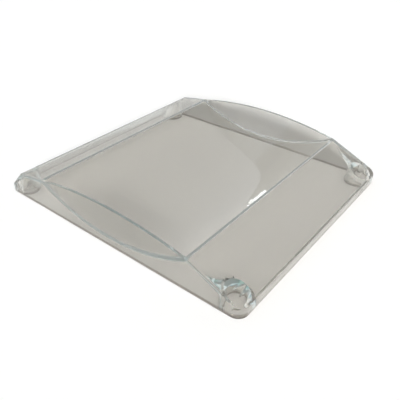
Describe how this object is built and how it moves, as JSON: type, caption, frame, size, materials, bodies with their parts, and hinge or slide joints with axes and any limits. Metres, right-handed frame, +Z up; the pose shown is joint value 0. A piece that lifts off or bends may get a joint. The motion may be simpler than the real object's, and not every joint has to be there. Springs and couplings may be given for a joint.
{
  "type": "coin tray",
  "caption": "Clear plastic cash-desk coin tray: a concave scoop between arched side walls, a low ramp at one end and a raised shelf at the other, open underneath.",
  "frame": {"origin": "middle of the footprint, on the surface that the tray stands on", "axes": "+X along the long side towards the low end, +Y along the short side, +Z up"},
  "size_m": [0.226, 0.1964, 0.033],
  "materials": {
    "clear_plastic": "glass-clear injection-moulded polystyrene, polished"
  },
  "bodies": {
    "root": {"tray_body": "clear_plastic"}
  },
  "joints": []
}
